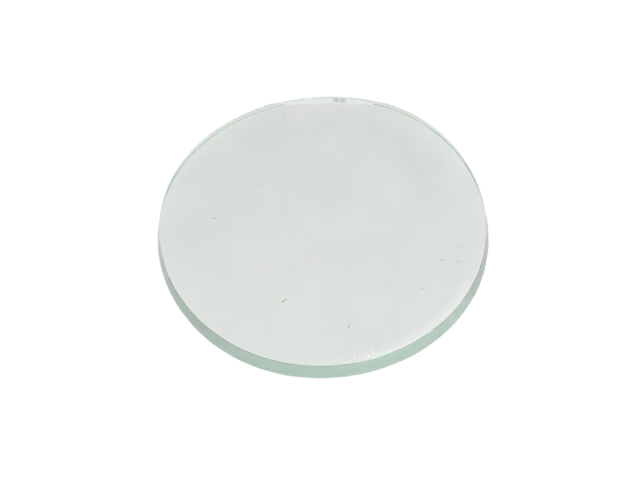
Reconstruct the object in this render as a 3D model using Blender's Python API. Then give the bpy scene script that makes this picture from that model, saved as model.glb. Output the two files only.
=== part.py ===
"""A watch glass: one round sheet of soda-lime glass, sagged into a shallow dish and ground round its edge.

The dish lies hollow side up on a small flat at its lowest point, with its axis on +Z and that flat on z = 0.
Both faces are parts of spheres about one centre, so the sheet has the same thickness everywhere. The edge is
cut square to the sheet, so it leans outwards on its way down, and its two sharp corners are ground round.
"""

import math

import bmesh
import bpy

# Driving dimensions, in metres.
DIAMETER = 0.050  # across the widest place, which is the lower corner of the edge
SHEET = 0.003  # thickness of the glass, square to its faces
RIM_SLOPE = math.radians(9.0)  # how steeply the sheet climbs at its rim
FOOT_RADIUS = 0.004  # the flat on which the dish rests
UPPER_ARRIS = 0.0002  # radius ground on the corner round the hollow face
LOWER_ARRIS = 0.0002  # radius ground on the corner round the domed face

# The blank is cut by hand, so its outline has shallow lobes: (how many, height, direction of the first).
LOBES = (
    (3, 0.00013, math.radians(47.0)),
    (4, 0.00010, math.radians(-29.0)),
)

# How finely the curves are divided.
SECTORS = 96
FACE_STEPS = 6
ARRIS_STEPS = 3

# Pale green soda-lime glass, clear and smooth.
GLASS_COLOUR = (0.72, 0.78, 0.74, 1.0)
GLASS_ROUGHNESS = 0.05
GLASS_IOR = 1.52

# The two spheres. The edge, produced, runs through their centre. The straight part of it ends this far from
# there, which lets the ground corner under it reach out to the full radius and no further.
RADIUS = DIAMETER / 2
EDGE_END = (RADIUS - LOWER_ARRIS * (1 - math.cos(RIM_SLOPE))) / math.sin(RIM_SLOPE)
LOWER_SPHERE = math.hypot(EDGE_END, LOWER_ARRIS) + LOWER_ARRIS
UPPER_SPHERE = LOWER_SPHERE - SHEET

# The centre is placed so that the flat, cut off the lower sphere, lies on z = 0.
CENTRE_HEIGHT = math.sqrt(LOWER_SPHERE**2 - FOOT_RADIUS**2)
FOOT_SLOPE = math.asin(FOOT_RADIUS / LOWER_SPHERE)


def clear_scene():
    for thing in list(bpy.data.objects):
        bpy.data.objects.remove(thing, do_unlink=True)


def spread(start, end, steps):
    """Evenly spaced values from start to end, both included."""
    return [start + (end - start) * step / steps for step in range(steps + 1)]


def on_sphere(radius, slope):
    """The point (distance from the axis, height) of a sphere about the common centre, where it has this slope."""
    return radius * math.sin(slope), CENTRE_HEIGHT - radius * math.cos(slope)


def arc(centre, radius, start, end):
    """Points round a corner, by the direction from its centre, as an angle above the outward horizontal."""
    return [
        (centre[0] + radius * math.cos(angle), centre[1] + radius * math.sin(angle))
        for angle in spread(start, end, ARRIS_STEPS)
    ]


def profile():
    """Half of the section, from the rim of the foot out along the domed face, up the edge, and back to the axis."""
    lower_slope = RIM_SLOPE - math.asin(LOWER_ARRIS / (LOWER_SPHERE - LOWER_ARRIS))
    upper_slope = RIM_SLOPE - math.asin(UPPER_ARRIS / (UPPER_SPHERE + UPPER_ARRIS))
    domed = [on_sphere(LOWER_SPHERE, slope) for slope in spread(FOOT_SLOPE, lower_slope, FACE_STEPS)]
    hollow = [on_sphere(UPPER_SPHERE, slope) for slope in spread(upper_slope, 0.0, FACE_STEPS)]
    lower_corner = arc(
        on_sphere(LOWER_SPHERE - LOWER_ARRIS, lower_slope), LOWER_ARRIS, lower_slope - math.pi / 2, RIM_SLOPE
    )
    upper_corner = arc(
        on_sphere(UPPER_SPHERE + UPPER_ARRIS, upper_slope), UPPER_ARRIS, RIM_SLOPE, upper_slope + math.pi / 2
    )
    return domed[:-1] + lower_corner + upper_corner + hollow[1:]


def lobes(angle):
    """How far the rim stands outside a true circle in this direction."""
    return sum(height * math.cos(count * (angle - first)) for count, height, first in LOBES)


def ring(mesh, distance, height):
    """One turn of the profile. The lobes fade away towards the axis, so the middle of the dish stays round."""
    corners = []
    for sector in range(SECTORS):
        angle = 2 * math.pi * sector / SECTORS
        reach = distance + lobes(angle) * (distance / RADIUS) ** 2
        corners.append(mesh.verts.new((reach * math.cos(angle), reach * math.sin(angle), height)))
    return corners


def turned(section):
    """A closed mesh of the section turned about the axis, flat underneath and with one point in the hollow."""
    mesh = bmesh.new()
    rings = [ring(mesh, distance, height) for distance, height in section[:-1]]
    mesh.faces.new(reversed(rings[0]))
    for below, above in zip(rings, rings[1:]):
        for here in range(SECTORS):
            there = (here + 1) % SECTORS
            mesh.faces.new((below[here], below[there], above[there], above[here]))
    middle = mesh.verts.new((0.0, 0.0, section[-1][1]))
    for here in range(SECTORS):
        mesh.faces.new((rings[-1][here], rings[-1][(here + 1) % SECTORS], middle))
    return mesh


def glass_material():
    material = bpy.data.materials.new("soda_lime_glass")
    material.use_nodes = True
    shader = material.node_tree.nodes["Principled BSDF"]
    shader.inputs["Base Color"].default_value = GLASS_COLOUR
    shader.inputs["Roughness"].default_value = GLASS_ROUGHNESS
    shader.inputs["Metallic"].default_value = 0.0
    shader.inputs["IOR"].default_value = GLASS_IOR
    shader.inputs["Transmission Weight"].default_value = 1.0
    return material


def watch_glass():
    data = bpy.data.meshes.new("glass_dish")
    mesh = turned(profile())
    mesh.to_mesh(data)
    mesh.free()
    data.materials.append(glass_material())
    data.shade_smooth()
    data.set_sharp_from_angle(angle=math.radians(40.0))
    dish = bpy.data.objects.new("glass_dish", data)
    bpy.context.scene.collection.objects.link(dish)
    return dish


clear_scene()
watch_glass()
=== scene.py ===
"""The looks of a watch glass: a shallow dish of pale green sheet glass, ground round its edge by hand.

One closed mesh stands for the CAD dish. It has the same section, made fine enough for glass, with what the
real one carries on top: a slightly wavy sheet, a hand-ground edge whose corners wander in width, shell-shaped
flakes along the front rim, a flat ground across the back rim with a chip in it, and nicks in the edge.

Four masks on its points say where the glass is ground; where dirt and painted shade darken it; where it is
lighter, being freshly broken or ground, and in a painted band of light; and where painted light tints it sea
green. A second piece holds the grains caught in the glass.
"""

import math

import bmesh
import bpy
import numpy as np
from mathutils import Matrix, Vector


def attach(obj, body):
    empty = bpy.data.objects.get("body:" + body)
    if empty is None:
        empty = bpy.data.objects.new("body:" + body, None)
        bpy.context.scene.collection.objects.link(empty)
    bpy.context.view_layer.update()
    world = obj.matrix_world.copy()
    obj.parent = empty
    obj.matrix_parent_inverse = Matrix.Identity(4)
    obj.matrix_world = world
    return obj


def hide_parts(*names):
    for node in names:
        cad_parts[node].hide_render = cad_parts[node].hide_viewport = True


MM = 0.001

# The section, as the CAD part has it. The radius, the sheet and the foot are read from the frame.
RIM_SLOPE = math.radians(9.0)
UPPER_CORNER = 0.2 * MM  # radii ground on the corners of the edge
LOWER_CORNER = 0.2 * MM
LOBES = (
    (3, 0.13 * MM, math.radians(47.0)),
    (4, 0.10 * MM, math.radians(-29.0)),
)

# Directions are angles about the dish's axis, anticlockwise from +X seen from above. The camera is at 270 degrees.
FLAKED_FROM = math.radians(262.0)
FLAKED_TO = math.radians(306.0)
CHIP_AT = math.radians(81.5)
FACET_AT = math.radians(87.0)

# What the hand of the maker and use have left, all cut inwards.
CORNER_WANDER = 0.04 * MM  # how much the ground corners' radii vary
FACET_WIDTH = 2.2 * MM  # a flat ground across the back rim, at its widest
FACET_SLOPE = math.radians(11.0)  # how steeply that flat falls outwards
SHEET_RISE = 2.9 * MM  # from the lower corner of the edge up to the upper one
GRINDING_DEPTH = 0.030 * MM  # facets left on the edge by the wheel
FLAKES = 150
NICKS = 22
NICK_DEPTH = 0.012 * MM
SHEET_WAVE = 0.006 * MM  # slow waves in both faces of the sagged sheet

# The light: where the window is, and the colour of it all.
WINDOW_AZIMUTH = math.radians(110.0)
WINDOW_ELEVATION = math.radians(12.0)
SKY_COLOUR = (1.0, 0.998, 0.994, 1.0)

# How the glass takes up light, at each face and by its depth.
GLASS_IOR = 1.52
BARE_AND_LIT_TINT = (0.83, 0.845, 0.84, 1.0)  # freshly broken or ground glass, and a painted band of light inside the front right rim
BRIGHT_TINT = (0.732, 0.750, 0.735, 1.0)
DULL_TINT = (0.700, 0.719, 0.705, 1.0)  # under a dull film
EDGE_LIGHT_TINT = (0.735, 0.825, 0.775, 1.0)  # painted light: the sea green inside the back rim, where light comes through the edge
# Dirt and painted shade: the touch, the chip, the faces towards the back left and the edge at the sides
DIRT_AND_SHADE_DARK = (0.40, 0.42, 0.41, 1.0)
DIRT_AND_SHADE_LIGHT = (0.66, 0.68, 0.67, 1.0)
DEPTH_COLOUR = (0.0, 0.43, 0.22, 1.0)
DEPTH_DENSITY = 11.0  # per metre
GRIT_RELIEF = 0.000003  # metres, the relief of the ground surface

# The grains. Each row is x, y, half length and half width in mm, direction in degrees, shares of ochre and of pale.
PLACED_GRAINS = [
    (-16.3, 2.8, 0.15, 0.10, 120, 0, 0), (-9.6, 8.8, 0.13, 0.09, 10, 0, 0.4),
    (-8.1, 9.3, 0.20, 0.08, 8, 0, 0.85), (4.8, 13.2, 0.13, 0.09, 160, 0, 0.6),
    (14.3, 1.3, 0.12, 0.08, 0, 0, 0.4), (-0.6, -14.6, 0.11, 0.08, 0, 0, 0.4),
    (-6.4, -12.5, 0.19, 0.11, 25, 1, 0), (-6.0, -12.2, 0.14, 0.09, 20, 1, 0),
    (3.0, -17.7, 0.14, 0.09, 80, 0, 0), (3.1, -17.2, 0.14, 0.05, 85, 0, 0.5),
    (17.4, -6.9, 0.30, 0.07, 165, 0, 0.8), (19.8, -7.5, 0.30, 0.06, 0, 0, 0.8),
    (14.1, -11.7, 0.32, 0.06, 160, 0, 0.8), (20.0, -4.9, 0.20, 0.08, 40, 0, 0.9),
]
RANDOM_GRAINS = 34
GRAIN_REACH = 22.5  # mm from the axis, the furthest that a random grain lies
STONE_DARK = (0.05, 0.055, 0.06, 1.0)
STONE_LIGHT = (0.24, 0.24, 0.25, 1.0)
STONE_PALE = (0.74, 0.78, 0.75, 1.0)
OCHRE_DARK = (0.22, 0.17, 0.03, 1.0)
OCHRE_LIGHT = (0.45, 0.38, 0.10, 1.0)
GRAIN_RELIEF = 0.00001  # metres

# The floor gives off most of its own light, because the photo's ground is white and shows no shadow.
FLOOR_HALF = 3.0  # metres
FLOOR_GAP = 0.05 * MM
FLOOR_COLOUR = (0.26, 0.26, 0.26, 1.0)
FLOOR_GLOW = (1.0, 0.985, 0.978, 1.0)
FLOOR_GLOW_STRENGTH = 0.80

# The camera, as fitted to the outline in the photo, seen from the middle of the rim.
CAMERA_ELEVATION = math.radians(55.677)
CAMERA_ROLL = math.radians(-2.916)
CAMERA_DISTANCE = 300 * MM
CAMERA_AIM = (-0.434 * MM, -2.440 * MM, 0.0)  # off the middle of the rim, to the camera's right and up
CAMERA_LENS = 112.83  # focal length, in mm
CAMERA_SENSOR = 36.0  # mm


def measured(cad):
    """The rim's mean radius, the sheet's thickness on the axis and the foot's radius, from the CAD dish."""
    points = np.array([vertex.co for vertex in cad.data.vertices])
    reach = np.hypot(points[:, 0], points[:, 1])
    sector = np.round(np.degrees(np.arctan2(points[:, 1], points[:, 0]))).astype(int)
    radius = np.mean([reach[sector == one].max() for one in np.unique(sector[reach > reach.max() / 2])])
    on_axis = points[reach < 0.1 * MM]
    foot = reach[points[:, 2] < 0.001 * MM].max()
    return radius, on_axis[:, 2].max(), foot


class Section:
    """The two spheres about one centre that the dish's faces belong to."""

    def __init__(self, radius, middle, foot):
        self.radius = radius
        edge_end = (radius - LOWER_CORNER * (1 - math.cos(RIM_SLOPE))) / math.sin(RIM_SLOPE)
        self.lower = math.hypot(edge_end, LOWER_CORNER) + LOWER_CORNER
        self.centre = math.sqrt(self.lower**2 - foot**2)
        self.upper = self.centre - middle
        self.foot_slope = math.asin(foot / self.lower)
        self.rim_height = self.centre - self.upper * math.cos(RIM_SLOPE)

    def hollow_height(self, reach):
        """Height of the hollow face at this distance from the axis."""
        return self.centre - math.sqrt(self.upper**2 - reach**2)


def sector_angles():
    """Directions of the mesh's sectors, closer together where the rim is flaked, ground flat or chipped."""
    coarse = math.radians(0.9)
    medium = math.radians(0.45)
    fine = math.radians(0.22)
    chip_half = math.radians(4.0)
    facet_half = math.radians(26.0)
    stretches = (
        (FLAKED_FROM, FLAKED_TO, fine),
        (CHIP_AT - chip_half, CHIP_AT + chip_half, fine),
        (FACET_AT - facet_half, FACET_AT + facet_half, medium),
    )
    angles = []
    angle = 0.0
    while angle < 2 * math.pi - coarse / 2:
        angles.append(angle)
        angle += next((step for start, end, step in stretches if start <= angle <= end), coarse)
    return np.array(angles)


def ripple(angles, counts, seed):
    """A smooth, seeded wave round the rim, between about -1 and 1."""
    dice = np.random.default_rng(seed)
    total = np.zeros_like(angles)
    for count in counts:
        total += dice.uniform(0.4, 1.0) * np.cos(count * angles + dice.uniform(0, 2 * math.pi))
    return total / math.sqrt(len(counts))


def graded(start, end, steps, power):
    """Values from start to end. With a power above 1 they crowd together towards the start."""
    return start + (end - start) * np.linspace(0, 1, steps + 1) ** power


def section_points(section, upper_corner, lower_corner):
    """The profile of one sector, from the foot out and back to the axis: reach, height, and 1 where it is ground."""
    lower_slope = RIM_SLOPE - math.asin(lower_corner / (section.lower - lower_corner))
    upper_slope = RIM_SLOPE - math.asin(upper_corner / (section.upper + upper_corner))
    domed = graded(lower_slope, section.foot_slope, 22, 1.5)[::-1]
    hollow = graded(upper_slope, 0.0, 60, 1.9)
    edge = np.linspace(
        math.sqrt((section.lower - lower_corner) ** 2 - lower_corner**2),
        math.sqrt((section.upper + upper_corner) ** 2 - upper_corner**2),
        19,
    )
    lower_turn = np.linspace(lower_slope - math.pi / 2, RIM_SLOPE, 7)
    upper_turn = np.linspace(RIM_SLOPE, upper_slope + math.pi / 2, 7)
    low = section.lower - lower_corner
    high = section.upper + upper_corner
    parts = [
        (section.lower * np.sin(domed), section.centre - section.lower * np.cos(domed), 0.0),
        (
            low * math.sin(lower_slope) + lower_corner * np.cos(lower_turn[1:-1]),
            section.centre - low * math.cos(lower_slope) + lower_corner * np.sin(lower_turn[1:-1]),
            1.0,
        ),
        (edge * math.sin(RIM_SLOPE), section.centre - edge * math.cos(RIM_SLOPE), 1.0),
        (
            high * math.sin(upper_slope) + upper_corner * np.cos(upper_turn[1:-1]),
            section.centre - high * math.cos(upper_slope) + upper_corner * np.sin(upper_turn[1:-1]),
            1.0,
        ),
        (section.upper * np.sin(hollow[:-1]), section.centre - section.upper * np.cos(hollow[:-1]), 0.0),
    ]
    reach = np.concatenate([part[0] for part in parts])
    height = np.concatenate([part[1] for part in parts])
    ground = np.concatenate([np.full(len(part[0]), part[2]) for part in parts])
    return reach, height, ground


def dish_points(section, angles):
    """The dish's points as a grid, one row for each sector, and how roughly each of them is ground."""
    upper = UPPER_CORNER + CORNER_WANDER * np.clip(ripple(angles, (2, 5, 9, 17, 31, 47), 3), -1.2, 1.6)
    lower = LOWER_CORNER + CORNER_WANDER * np.clip(ripple(angles, (3, 7, 13, 23, 41), 8), -1.2, 1.6)
    rows = [section_points(section, up, low) for up, low in zip(upper, lower)]
    reach = np.array([row[0] for row in rows])
    height = np.array([row[1] for row in rows])
    ground = np.array([row[2] for row in rows])
    turn = angles[:, None]
    share = reach / section.radius
    for count, lobe, first in LOBES:
        reach = reach + lobe * np.cos(count * (turn - first)) * share**2
    along = np.linspace(0, 1, reach.shape[1])[None, :]
    facets = ripple(angles, (19, 37, 53, 71, 97), 5)[:, None]
    marks = ripple(angles, (61, 83, 109), 6)[:, None] * np.cos(40 * along)
    reach = reach - GRINDING_DEPTH * ground * (0.8 + 0.45 * facets + 0.12 * marks)
    x = reach * np.cos(turn)
    y = reach * np.sin(turn)
    wave = np.cos(190 * x + 120 * y + 0.6) + np.cos(70 * x - 260 * y + 2.1) + np.cos(340 * x + 90 * y)
    height = height + SHEET_WAVE * wave * (1 - ground) * np.clip(share * 1.6 - 0.3, 0, 1)
    finish = np.clip(0.60 - 0.45 * np.sin(turn) + 0.10 * ripple(angles, (4, 7, 11), 12)[:, None], 0.12, 1.0)
    low = np.clip((section.rim_height - height) / SHEET_RISE, 0, 1)
    finish = finish + 0.8 * (1 - finish) * low
    return np.stack([x, y, height], axis=-1), ground * finish


def scoop(points, ground, centre, size, turn, depth, roughness):
    """Presses a shallow shell-shaped flake into the surface, and returns which points it took down."""
    offset = points - np.array(centre)
    along = offset[..., 0] * math.cos(turn) + offset[..., 1] * math.sin(turn)
    across = -offset[..., 0] * math.sin(turn) + offset[..., 1] * math.cos(turn)
    near = (along / size[0]) ** 2 + (across / size[1]) ** 2 + (offset[..., 2] / (2 * size[0])) ** 2
    inside = near < 1
    shell = (1 - near[inside]) * (1 + 0.18 * np.cos(9 * near[inside]))
    points[inside, 2] -= depth * shell
    ground[inside] = np.maximum(ground[inside], roughness * np.minimum(1, 3 * (1 - near[inside])))
    return inside


def grind_facet(section, points, ground, bare_and_lit):
    """The flat ground across the back rim: whatever stands above one sloping plane is pressed onto it."""
    outward = points[..., 0] * math.cos(FACET_AT) + points[..., 1] * math.sin(FACET_AT)
    border = section.radius - FACET_WIDTH
    plane = section.hollow_height(border) - (outward - border) * math.tan(FACET_SLOPE)
    above = (points[..., 2] > plane) & (outward > border)
    points[above, 2] = plane[above] + 0.03 * (points[above, 2] - plane[above])
    ground[above] = 0.75
    bare_and_lit[above] = 0.55


def paint_front_rim_light(section, points, bare_and_lit):
    """A painted band of light: a strip just inside the front right rim that takes the lighter tint."""
    turn = np.degrees(np.arctan2(points[..., 1], points[..., 0])) % 360
    inward = section.radius - np.hypot(points[..., 0], points[..., 1])
    round_rim = np.clip((turn - 280) / 14, 0, 1) * np.clip((338 - turn) / 14, 0, 1)
    across = np.clip(1.2 - np.abs(inward - 0.9 * MM) / (1.2 * MM), 0, 1)
    bare_and_lit[:] = np.maximum(bare_and_lit, 0.6 * round_rim * across)


def paint_edge_light(section, points, edge_light):
    """Painted light: a sea green tint on the hollow face, along the back left rim and the back right one, where
    light comes through the edge.
    """
    turn = np.degrees(np.arctan2(points[..., 1], points[..., 0])) % 360
    inward = section.radius - np.hypot(points[..., 0], points[..., 1])
    left = np.clip((turn - 110) / 10, 0, 1) * np.clip((176 - turn) / 30, 0, 1)
    right = np.clip((turn - 8) / 30, 0, 1) * np.clip((64 - turn) / 10, 0, 1)
    across = np.clip((2.4 * MM - inward) / (1.6 * MM), 0, 1)
    edge_light[:] = (left + 0.7 * right) * across * (points[..., 2] > section.rim_height - MM)


def smudge_and_shade_faces(points, ground, grime_and_shade):
    """Painted shade that darkens the faces towards the back left, one greasy touch on the right of it, and painted
    shade on the edge at the left and the right.
    """
    x = points[..., 0] / MM
    y = points[..., 1] / MM
    # Painted shade: the faces darker towards the back left.
    film_and_shade = 0.07 * np.clip((0.9 * y - 0.25 * x) / 20, 0, 1)
    # The touch is a stroke from (12.6, 16.2) to (16.5, 5.8), in mm: a broad faint border round a narrow middle.
    along = np.clip((16.2 - y) / 10.4, 0, 1)
    away = np.hypot(x - 12.6 - 3.9 * along, y - 16.2 + 10.4 * along)
    patchy = 0.75 + 0.25 * np.cos(3.1 * x + 1.7 * y) * np.cos(2.3 * y)
    touch = 0.09 * np.exp(-((away / 3.2) ** 2)) + 0.09 * patchy * np.exp(-((away / 0.9) ** 2))
    grime_and_shade[:] = np.maximum(grime_and_shade, film_and_shade + touch)
    turn = np.degrees(np.arctan2(y, x))
    # Painted shade on the edge, at the left and at the right.
    for darkest in (172, 8):  # directions, in degrees
        away = np.abs((turn - darkest + 180) % 360 - 180)
        grime_and_shade[:] = np.maximum(grime_and_shade, 0.45 * np.clip((24 - away) / 10, 0, 1) * (ground > 0))


def flake_rim(section, points, ground, bare_and_lit):
    """Many small flakes just inside the front rim, closest together in the middle of the flaked stretch."""
    dice = np.random.default_rng(21)
    for _ in range(FLAKES):
        angle = math.radians(dice.normal(284.0, 6.5))
        reach = section.radius - 0.62 * MM - abs(dice.normal(0.0, 0.75)) * MM
        centre = (reach * math.cos(angle), reach * math.sin(angle), section.hollow_height(reach))
        length = dice.uniform(0.08, 0.20) * MM
        width = length * dice.uniform(0.4, 0.9)
        depth = dice.uniform(0.014, 0.040) * MM
        bare_and_lit[scoop(points, ground, centre, (length, width), dice.uniform(0, math.pi), depth, 0.6)] = 1.0


def chip_back_rim(section, points, ground, grime_and_shade):
    """One chip where the back rim has been knocked, made of overlapping shells that take the full dark colour."""
    # Direction off the chip's own in radians, then distance in from the rim, half sizes and depth in mm.
    shells = (
        (-0.022, 1.25, 0.66, 0.62, 0.22),
        (0.018, 1.20, 0.60, 0.58, 0.26),
        (-0.036, 1.75, 0.28, 0.42, 0.12),
    )
    for shift, inward, length, width, depth in shells:
        angle = CHIP_AT + shift
        reach = section.radius - inward * MM
        height = section.hollow_height(section.radius - FACET_WIDTH)
        centre = (reach * math.cos(angle), reach * math.sin(angle), height)
        size = (length * MM, width * MM)
        grime_and_shade[scoop(points, ground, centre, size, angle + math.pi / 2, depth * MM, 1.0)] = 1.0


def nick_edge(section, points, ground):
    """Short shallow nicks along the middle of the edge, one of them at the front."""
    dice = np.random.default_rng(34)
    front = [(270.5, 0.45, 0.20)]  # direction in degrees, half length and half height in mm
    others = [(dice.uniform(0, 360), dice.uniform(0.4, 0.9), dice.uniform(0.18, 0.30)) for _ in range(NICKS)]
    outward = np.hypot(points[..., 0], points[..., 1])
    turn = np.arctan2(points[..., 1], points[..., 0])
    for direction, length, width in front + others:
        middle = math.radians(direction)
        level = section.rim_height - dice.uniform(0.9, 2.1) * MM
        along = ((turn - middle + math.pi) % (2 * math.pi) - math.pi) * section.radius
        near = (along / (length * MM)) ** 2 + ((points[..., 2] - level) / (width * MM)) ** 2
        cut = np.where((near < 1) & (ground > 0.1), NICK_DEPTH * (1 - near) ** 2, 0.0)
        points[..., 0] -= cut * points[..., 0] / outward.clip(MM)
        points[..., 1] -= cut * points[..., 1] / outward.clip(MM)


def dish_mesh(section):
    """The dish as one closed mesh, with its masks. The foot and the hollow each close on a point on the axis."""
    angles = sector_angles()
    points, ground = dish_points(section, angles)
    grime_and_shade = np.zeros_like(ground)
    edge_light = np.zeros_like(ground)
    bare_and_lit = np.sign(ground)
    nick_edge(section, points, ground)
    grind_facet(section, points, ground, bare_and_lit)
    paint_front_rim_light(section, points, bare_and_lit)
    flake_rim(section, points, ground, bare_and_lit)
    chip_back_rim(section, points, ground, grime_and_shade)
    smudge_and_shade_faces(points, ground, grime_and_shade)
    paint_edge_light(section, points, edge_light)
    sectors, rings = ground.shape
    corners = points.reshape(-1, 3).tolist()
    here = np.arange(sectors)[:, None]
    there = (here + 1) % sectors
    ring = np.arange(rings - 1)[None, :]
    quads = np.stack(
        [here * rings + ring, there * rings + ring, there * rings + ring + 1, here * rings + ring + 1], axis=-1
    )
    faces = quads.reshape(-1, 4).tolist()
    under = len(corners)
    corners.append((0.0, 0.0, 0.0))
    over = len(corners)
    corners.append((0.0, 0.0, section.hollow_height(0.0)))
    for one in range(sectors):
        other = (one + 1) % sectors
        faces.append((under, other * rings, one * rings))
        faces.append((over, one * rings + rings - 1, other * rings + rings - 1))
    data = bpy.data.meshes.new("dish_glass")
    data.from_pydata(corners, [], faces)
    data.update()
    for name, amount in (("ground", ground), ("grime_and_shade", grime_and_shade), ("bare_and_lit", bare_and_lit), ("edge_light", edge_light)):
        mask = data.attributes.new(name, "FLOAT", "POINT")
        mask.data.foreach_set("value", np.append(amount.ravel(), [0.0, 0.0]).astype(np.float32))
    data.shade_smooth()
    return data


def node(tree, kind, **inputs):
    """A new node with these inputs set. An underscore stands for a space in an input's name."""
    made = tree.nodes.new(kind)
    for name, value in inputs.items():
        made.inputs[name.replace("_", " ")].default_value = value
    return made


def ramped(tree, value, low, high, start, end):
    """The value's stretch from low to high, carried over to start to end and held there beyond."""
    ramp = tree.nodes.new("ShaderNodeMapRange")
    ramp.inputs["From Min"].default_value = low
    ramp.inputs["From Max"].default_value = high
    ramp.inputs["To Min"].default_value = start
    ramp.inputs["To Max"].default_value = end
    tree.links.new(value, ramp.inputs["Value"])
    return ramp.outputs["Result"]


def noise(tree, place, scale, detail, roughness):
    made = node(tree, "ShaderNodeTexNoise", Scale=scale, Detail=detail, Roughness=roughness)
    tree.links.new(place, made.inputs["Vector"])
    return made.outputs["Fac"]


def blended(tree, amount, first, second, kind="FLOAT"):
    """A mix of two values or two colours, each either a socket or a constant."""
    mix = tree.nodes.new("ShaderNodeMix")
    mix.data_type = kind
    suffix = "Color" if kind == "RGBA" else "Float"
    tree.links.new(amount, next(i for i in mix.inputs if i.identifier == "Factor_Float"))
    for letter, what in (("A", first), ("B", second)):
        socket = next(i for i in mix.inputs if i.identifier == letter + "_" + suffix)
        if isinstance(what, bpy.types.NodeSocket):
            tree.links.new(what, socket)
        else:
            socket.default_value = what
    return next(o for o in mix.outputs if o.identifier == "Result_" + suffix)


def hairlines(tree, place, turn, seed):
    """Thin scratches that all run one way: noise stretched along them, of which only a thin slice counts."""
    mapping = tree.nodes.new("ShaderNodeMapping")
    mapping.inputs["Rotation"].default_value = (0.0, 0.0, math.radians(turn))
    mapping.inputs["Location"].default_value = (seed, 2 * seed, 0.0)
    mapping.inputs["Scale"].default_value = (1.0, 24.0, 1.0)
    tree.links.new(place, mapping.inputs["Vector"])
    return ramped(tree, noise(tree, mapping.outputs["Vector"], 90.0, 2.0, 0.5), 0.735, 0.76, 0.0, 1.0)


def glass_material():
    """Clear soda-lime glass, bright on its faces and satin where it is ground, green by its depth."""
    material = bpy.data.materials.new("soda_lime_glass")
    material.use_nodes = True
    tree = material.node_tree
    shader = tree.nodes["Principled BSDF"]
    shader.inputs["IOR"].default_value = GLASS_IOR
    shader.inputs["Transmission Weight"].default_value = 1.0

    place = tree.nodes.new("ShaderNodeTexCoord").outputs["Object"]
    masks = {}
    for name in ("ground", "grime_and_shade", "bare_and_lit", "edge_light"):
        mask = tree.nodes.new("ShaderNodeAttribute")
        mask.attribute_name = name
        masks[name] = mask.outputs["Fac"]

    haze = noise(tree, place, 130.0, 4.0, 0.6)
    clear = blended(tree, ramped(tree, haze, 0.35, 0.65, 0.0, 1.0), BRIGHT_TINT, DULL_TINT, "RGBA")
    # The lighter tint is freshly broken and ground glass, and a painted band of light inside the front right rim.
    clear = blended(tree, masks["bare_and_lit"], clear, BARE_AND_LIT_TINT, "RGBA")
    # The sea green is painted light along the back rims.
    clear = blended(tree, masks["edge_light"], clear, EDGE_LIGHT_TINT, "RGBA")
    # The dark colour is dirt and painted shade.
    dark = blended(tree, noise(tree, place, 3000.0, 3.0, 0.6), DIRT_AND_SHADE_DARK, DIRT_AND_SHADE_LIGHT, "RGBA")
    tree.links.new(blended(tree, masks["grime_and_shade"], clear, dark, "RGBA"), shader.inputs["Base Color"])

    film_and_shade = ramped(tree, haze, 0.45, 0.75, 0.012, 0.08)
    for turn, seed in ((8.0, 1.7), (97.0, 4.1), (52.0, 7.3)):
        film_and_shade = blended(tree, hairlines(tree, place, turn, seed), film_and_shade, 0.22)
    grit = noise(tree, place, 5200.0, 3.0, 0.7)
    patches = ramped(tree, noise(tree, place, 330.0, 1.0, 0.5), 0.30, 0.70, 0.0, 1.0)
    smoother = ramped(tree, grit, 0.3, 0.7, 0.15, 0.20)
    rougher = ramped(tree, grit, 0.3, 0.7, 0.21, 0.26)
    satin = blended(tree, patches, smoother, rougher)
    tree.links.new(blended(tree, masks["ground"], film_and_shade, satin), shader.inputs["Roughness"])

    bump = node(tree, "ShaderNodeBump", Distance=GRIT_RELIEF)
    tree.links.new(masks["ground"], bump.inputs["Strength"])
    tree.links.new(grit, bump.inputs["Height"])
    tree.links.new(bump.outputs["Normal"], shader.inputs["Normal"])

    depth = tree.nodes.new("ShaderNodeVolumeAbsorption")
    depth.inputs["Color"].default_value = DEPTH_COLOUR
    depth.inputs["Density"].default_value = DEPTH_DENSITY
    tree.links.new(depth.outputs["Volume"], tree.nodes["Material Output"].inputs["Volume"])
    return material


def make_dish(section):
    dish = bpy.data.objects.new("dish_glass", dish_mesh(section))
    bpy.context.scene.collection.objects.link(dish)
    dish.data.materials.append(glass_material())
    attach(dish, "root")
    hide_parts("glass_dish")
    return dish


def grain_material():
    """Dull stone, dark to pale, and ochre in places: unmelted grains that came with the sand."""
    material = bpy.data.materials.new("unmelted_grain")
    material.use_nodes = True
    tree = material.node_tree
    shader = tree.nodes["Principled BSDF"]
    shader.inputs["Specular IOR Level"].default_value = 0.2
    place = tree.nodes.new("ShaderNodeTexCoord").outputs["Object"]
    shares = {}
    for name in ("ochre", "pale"):
        share = tree.nodes.new("ShaderNodeAttribute")
        share.attribute_name = name
        shares[name] = share.outputs["Fac"]
    speckle = ramped(tree, noise(tree, place, 9000.0, 3.0, 0.6), 0.35, 0.65, 0.0, 1.0)
    stone = blended(tree, speckle, STONE_DARK, STONE_LIGHT, "RGBA")
    rust = blended(tree, speckle, OCHRE_DARK, OCHRE_LIGHT, "RGBA")
    stone = blended(tree, shares["pale"], stone, STONE_PALE, "RGBA")
    tree.links.new(blended(tree, shares["ochre"], stone, rust, "RGBA"), shader.inputs["Base Color"])
    tree.links.new(ramped(tree, speckle, 0.0, 1.0, 0.65, 0.9), shader.inputs["Roughness"])
    bump = node(tree, "ShaderNodeBump", Distance=GRAIN_RELIEF, Strength=0.8)
    tree.links.new(speckle, bump.inputs["Height"])
    tree.links.new(bump.outputs["Normal"], shader.inputs["Normal"])
    return material


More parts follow.
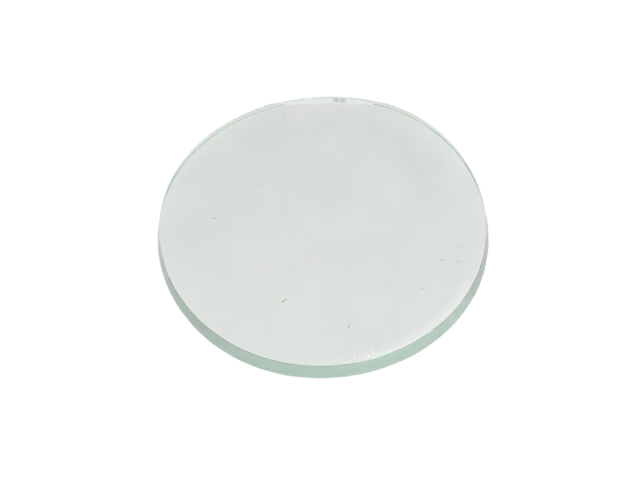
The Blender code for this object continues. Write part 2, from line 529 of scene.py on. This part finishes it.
def lump(mesh, place, half_sizes, turn, dice, tones):
    """One irregular grain with these half sizes. tones are its shares of ochre and of pale."""
    corners = bmesh.ops.create_icosphere(mesh, subdivisions=2, radius=1.0)["verts"]
    spun = Matrix.Rotation(turn, 3, "Z")
    for corner in corners:
        knob = 1 + 0.16 * dice.uniform(-1, 1)
        corner.co = place + spun @ Vector([a * b * knob for a, b in zip(corner.co, half_sizes)])
        for name, tone in zip(("ochre", "pale"), tones):
            corner[mesh.verts.layers.float[name]] = tone


def make_grains(section):
    """The grains caught just under the hollow face: the placed ones, and many small pale ones at random."""
    dice = np.random.default_rng(55)
    mesh = bmesh.new()
    for name in ("ochre", "pale"):
        mesh.verts.layers.float.new(name)
    grains = list(PLACED_GRAINS)
    for _ in range(RANDOM_GRAINS):
        reach = GRAIN_REACH * math.sqrt(dice.uniform(0.0, 1.0))
        turn = dice.uniform(0, 2 * math.pi)
        size = dice.uniform(0.05, 0.085)
        grains.append((
            reach * math.cos(turn), reach * math.sin(turn), size * dice.uniform(1.0, 2.0), size,
            dice.uniform(0, 180), 0, dice.uniform(0.7, 1.0),
        ))
    for x, y, length, width, direction, rust, pale in grains:
        depth = (width * 1.6 + 0.05) * MM
        place = Vector((x * MM, y * MM, section.hollow_height(math.hypot(x, y) * MM) - depth))
        half_sizes = (length * MM, width * MM, 0.7 * width * MM)
        lump(mesh, place, half_sizes, math.radians(direction), dice, (rust, pale))
    data = bpy.data.meshes.new("caught_grains")
    mesh.to_mesh(data)
    mesh.free()
    data.shade_smooth()
    data.materials.append(grain_material())
    piece = bpy.data.objects.new("caught_grains", data)
    bpy.context.scene.collection.objects.link(piece)
    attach(piece, "root")
    return piece


def make_floor():
    data = bpy.data.meshes.new("floor")
    corners = [(x * FLOOR_HALF, y * FLOOR_HALF, -FLOOR_GAP) for x, y in ((-1, -1), (1, -1), (1, 1), (-1, 1))]
    data.from_pydata(corners, [], [(0, 1, 2, 3)])
    floor = bpy.data.objects.new("floor", data)
    bpy.context.scene.collection.objects.link(floor)
    material = bpy.data.materials.new("white_card")
    material.use_nodes = True
    shader = material.node_tree.nodes["Principled BSDF"]
    shader.inputs["Base Color"].default_value = FLOOR_COLOUR
    shader.inputs["Emission Color"].default_value = FLOOR_GLOW
    shader.inputs["Emission Strength"].default_value = FLOOR_GLOW_STRENGTH
    shader.inputs["Roughness"].default_value = 1.0
    shader.inputs["Specular IOR Level"].default_value = 0.0
    data.materials.append(material)


def pointing(azimuth, elevation):
    """The unit vector this far round from +X and up from the horizontal."""
    flat = math.cos(elevation)
    return flat * math.cos(azimuth), flat * math.sin(azimuth), math.sin(elevation)


def softbox(name, azimuth, elevation, distance, width, height, radiance):
    """An oblong area light that faces the dish. Its radiance is in the same units as the world's strength."""
    data = bpy.data.lights.new(name, "AREA")
    data.shape = "RECTANGLE"
    data.size = width
    data.size_y = height
    data.energy = radiance * math.pi * width * height
    lamp = bpy.data.objects.new(name, data)
    bpy.context.scene.collection.objects.link(lamp)
    towards = Vector(pointing(math.radians(azimuth), math.radians(elevation)))
    lamp.location = towards * distance
    lamp.rotation_euler = towards.to_track_quat("Z", "Y").to_euler()


def light_studio():
    """A pale room: a wide soft window low behind the dish, a lighter wall opposite it, and one small softbox."""
    world = bpy.data.worlds.new("studio")
    bpy.context.scene.world = world
    world.use_nodes = True
    tree = world.node_tree
    sky = tree.nodes["Background"]
    sky.inputs["Color"].default_value = SKY_COLOUR
    facing = tree.nodes.new("ShaderNodeVectorMath")
    facing.operation = "DOT_PRODUCT"
    facing.inputs[1].default_value = pointing(WINDOW_AZIMUTH, WINDOW_ELEVATION)
    tree.links.new(tree.nodes.new("ShaderNodeTexCoord").outputs["Generated"], facing.inputs[0])
    softbox("glint", azimuth=98.0, elevation=34.0, distance=0.6, width=0.07, height=0.06, radiance=9.0)
    window = ramped(tree, facing.outputs["Value"], low=0.42, high=1.0, start=0.66, end=2.00)
    wall = ramped(tree, facing.outputs["Value"], low=0.1, high=-0.8, start=0.0, end=0.55)
    both = tree.nodes.new("ShaderNodeMath")
    tree.links.new(window, both.inputs[0])
    tree.links.new(wall, both.inputs[1])
    tree.links.new(both.outputs["Value"], sky.inputs["Strength"])


def add_camera(section):
    """A long lens that looks down on the dish from the front."""
    back = Vector((0.0, -math.cos(CAMERA_ELEVATION), math.sin(CAMERA_ELEVATION)))
    roll = Matrix.Rotation(CAMERA_ROLL, 3, "Z").to_quaternion()
    rim_middle = Vector((0.0, 0.0, section.rim_height))
    place = rim_middle + back * CAMERA_DISTANCE
    aim = rim_middle + (back.to_track_quat("Z", "Y") @ roll) @ Vector(CAMERA_AIM)
    sight = place - aim
    data = bpy.data.cameras.new("camera")
    data.sensor_width = CAMERA_SENSOR
    data.lens = CAMERA_LENS
    camera = bpy.data.objects.new("camera", data)
    camera.location = place
    camera.rotation_mode = "QUATERNION"
    camera.rotation_quaternion = sight.to_track_quat("Z", "Y") @ roll
    bpy.context.scene.collection.objects.link(camera)
    bpy.context.scene.camera = camera


def light_paths():
    """Light goes through the edge of thick glass only after many turns inside it."""
    paths = bpy.context.scene.cycles
    paths.max_bounces = 32
    paths.diffuse_bounces = 16
    paths.glossy_bounces = 16
    paths.transmission_bounces = 32
    paths.blur_glossy = 0.0
    bpy.context.scene.view_settings.view_transform = "Standard"


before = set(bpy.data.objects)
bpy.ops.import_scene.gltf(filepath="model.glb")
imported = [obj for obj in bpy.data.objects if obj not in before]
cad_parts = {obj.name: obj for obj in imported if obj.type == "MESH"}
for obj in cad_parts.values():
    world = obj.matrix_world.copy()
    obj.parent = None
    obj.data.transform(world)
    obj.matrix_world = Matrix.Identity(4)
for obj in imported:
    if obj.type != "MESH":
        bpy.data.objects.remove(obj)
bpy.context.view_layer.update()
section = Section(*measured(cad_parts["glass_dish"]))
make_dish(section)
make_grains(section)
make_floor()
light_studio()
add_camera(section)
light_paths()
